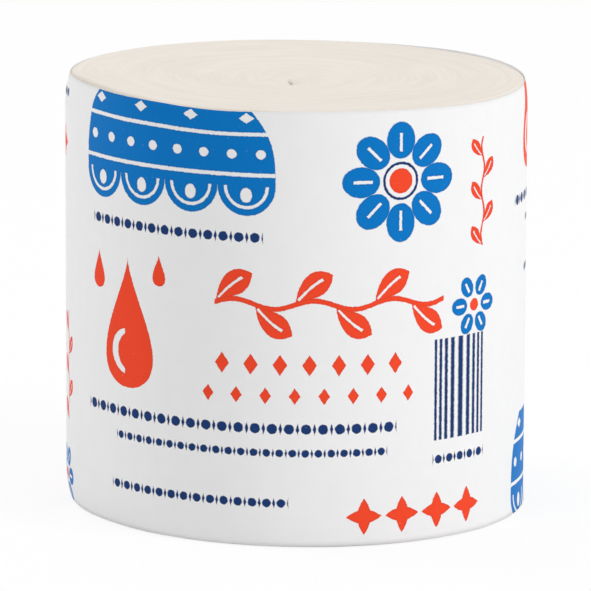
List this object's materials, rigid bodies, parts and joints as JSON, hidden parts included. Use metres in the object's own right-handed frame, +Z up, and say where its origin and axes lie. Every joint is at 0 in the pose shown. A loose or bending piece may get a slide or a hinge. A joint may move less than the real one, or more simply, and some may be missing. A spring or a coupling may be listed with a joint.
{
  "type": "toilet paper roll",
  "caption": "Coreless toilet paper roll: a tightly wound web of tissue with a pinched eye, held in one turn of printed wrapping paper.",
  "frame": {"origin": "middle of the sawn end that the roll stands on", "axes": "+Z up along the roll's axis, -Y towards the front, with the wrapper's seam on the back"},
  "size_m": [0.0962, 0.0963, 0.0903],
  "materials": {
    "tissue": "soft matt recycled tissue, warm grey beige, with its sawn turns showing on both ends",
    "wrapping_paper": "smooth white wrapping paper printed in blue, navy and orange red"
  },
  "bodies": {
    "root": {"paper_roll": "tissue", "wrapper": "wrapping_paper"}
  },
  "joints": []
}
